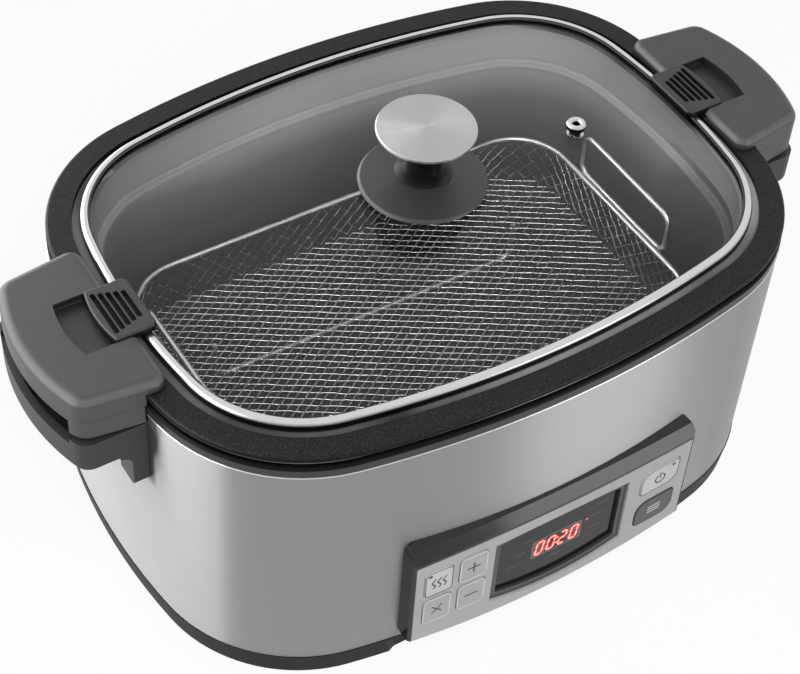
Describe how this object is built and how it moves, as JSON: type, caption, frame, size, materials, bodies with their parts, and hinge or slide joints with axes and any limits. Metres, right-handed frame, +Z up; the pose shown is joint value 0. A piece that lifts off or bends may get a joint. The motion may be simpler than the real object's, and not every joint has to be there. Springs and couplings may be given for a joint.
{
  "type": "slow cooker",
  "caption": "Oval digital slow cooker: steel housing with front control panel, lift-out pot, domed glass lid with sliding latches, and a wire steaming basket.",
  "frame": {"origin": "middle of the footprint on the table, under the rubber feet", "axes": "+X along the handles to the right as seen from the front, -Y towards the control panel's front, +Z up"},
  "size_m": [0.4552, 0.2956, 0.2298],
  "materials": {
    "shell_steel": "brushed",
    "base_plastic": "satin",
    "foot_rubber": "matte",
    "screw_steel": "plain",
    "collar_plastic": "semi gloss",
    "liner_metal": "plain sheet",
    "heater_cast": "cast",
    "element_steel": "plain",
    "sensor_metal": "plain",
    "handle_plastic": "matte",
    "bezel_gloss": "gloss",
    "panel_silver": "satin metallic",
    "display_frame_dark": "satin",
    "display_smoke": "gloss, smoked",
    "led_module": "matte",
    "board_green": "lacquered",
    "switch_black": "matte",
    "relay_black": "matte",
    "transformer_core": "varnished",
    "inlet_black": "matte",
    "pin_brass": "plated",
    "key_light": "satin metallic",
    "key_dark": "satin",
    "pot_coating": "dark non-stick coating",
    "grip_plastic": "matte",
    "latch_plastic": "matte",
    "lid_clear": "clear",
    "rim_steel": "polished",
    "knob_plastic": "satin",
    "cap_steel": "spun",
    "basket_steel": "bright wire"
  },
  "bodies": {
    "housing": {"outer_shell": "shell_steel", "base_tray": "base_plastic", "rubber_feet": "foot_rubber", "base_screws": "screw_steel", "top_collar": "collar_plastic", "heat_liner": "liner_metal", "heater_plate": "heater_cast", "heating_element": "element_steel", "temperature_sensor": "sensor_metal", "thermal_fuse": "sensor_metal", "housing_handle_left": "handle_plastic", "housing_handle_right": "handle_plastic", "handle_screws": "screw_steel", "panel_bezel": "bezel_gloss", "panel_face": "panel_silver", "display_frame": "display_frame_dark", "display_window": "display_smoke", "led_display": "led_module", "control_board": "board_green", "board_screws": "screw_steel", "tact_switches": "switch_black", "power_board": "board_green", "relay": "relay_black", "transformer": "transformer_core", "inlet_surround": "base_plastic", "inlet_socket": "inlet_black", "inlet_pins": "pin_brass"},
    "pot": {"pot_shell": "pot_coating", "pot_handle_cover_left": "grip_plastic", "pot_handle_cover_right": "grip_plastic", "pot_handle_base_left": "grip_plastic", "pot_handle_base_right": "grip_plastic", "pot_handle_screws": "screw_steel"},
    "lid": {"lid_glass": "lid_clear", "lid_rim": "rim_steel", "knob_base": "knob_plastic", "knob_stem": "knob_plastic", "knob_cap": "cap_steel", "knob_screw": "screw_steel", "steam_vent": "rim_steel"},
    "basket": {"basket_rim": "basket_steel", "basket_floor": "basket_steel", "basket_side_front": "basket_steel", "basket_side_back": "basket_steel", "basket_side_left": "basket_steel", "basket_side_right": "basket_steel", "basket_corners": "basket_steel", "basket_handle_left": "basket_steel", "basket_handle_right": "basket_steel", "basket_feet": "basket_steel"},
    "latch_left": {"latch_left": "latch_plastic"},
    "latch_right": {"latch_right": "latch_plastic"},
    "key_warm": {"key_warm": "key_light"},
    "key_cancel": {"key_cancel": "key_light"},
    "key_plus": {"key_plus": "key_light"},
    "key_minus": {"key_minus": "key_light"},
    "key_power": {"key_power": "key_light"},
    "key_menu": {"key_menu": "key_dark"}
  },
  "joints": [
    {"name": "pot_lift", "type": "slide", "parent": "housing", "child": "pot", "axis": [0, 0, 1], "range_m": [0, 0.2]},
    {"name": "lid_lift", "type": "slide", "parent": "pot", "child": "lid", "axis": [0, 0, 1], "range_m": [0, 0.3]},
    {"name": "basket_lift", "type": "slide", "parent": "pot", "child": "basket", "axis": [0, 0, 1], "range_m": [0, 0.15]},
    {"name": "latch_left_slide", "type": "slide", "parent": "pot", "child": "latch_left", "axis": [-1, 0, 0], "range_m": [0, 0.0125]},
    {"name": "latch_right_slide", "type": "slide", "parent": "pot", "child": "latch_right", "axis": [1, 0, 0], "range_m": [0, 0.0125]},
    {"name": "key_warm_press", "type": "slide", "parent": "housing", "child": "key_warm", "axis": [0, 1, 0], "range_m": [0, 0.0008], "stiffness_N_per_m": 1500},
    {"name": "key_cancel_press", "type": "slide", "parent": "housing", "child": "key_cancel", "axis": [0, 1, 0], "range_m": [0, 0.0008], "stiffness_N_per_m": 1500},
    {"name": "key_plus_press", "type": "slide", "parent": "housing", "child": "key_plus", "axis": [0, 1, 0], "range_m": [0, 0.0008], "stiffness_N_per_m": 1500},
    {"name": "key_minus_press", "type": "slide", "parent": "housing", "child": "key_minus", "axis": [0, 1, 0], "range_m": [0, 0.0008], "stiffness_N_per_m": 1500},
    {"name": "key_power_press", "type": "slide", "parent": "housing", "child": "key_power", "axis": [0, 1, 0], "range_m": [0, 0.0008], "stiffness_N_per_m": 1500},
    {"name": "key_menu_press", "type": "slide", "parent": "housing", "child": "key_menu", "axis": [0, 1, 0], "range_m": [0, 0.0008], "stiffness_N_per_m": 1500}
  ],
  "couplings": [
    {"joint": "basket_lift", "follows": "lid_lift", "ratio": 0.5}
  ]
}
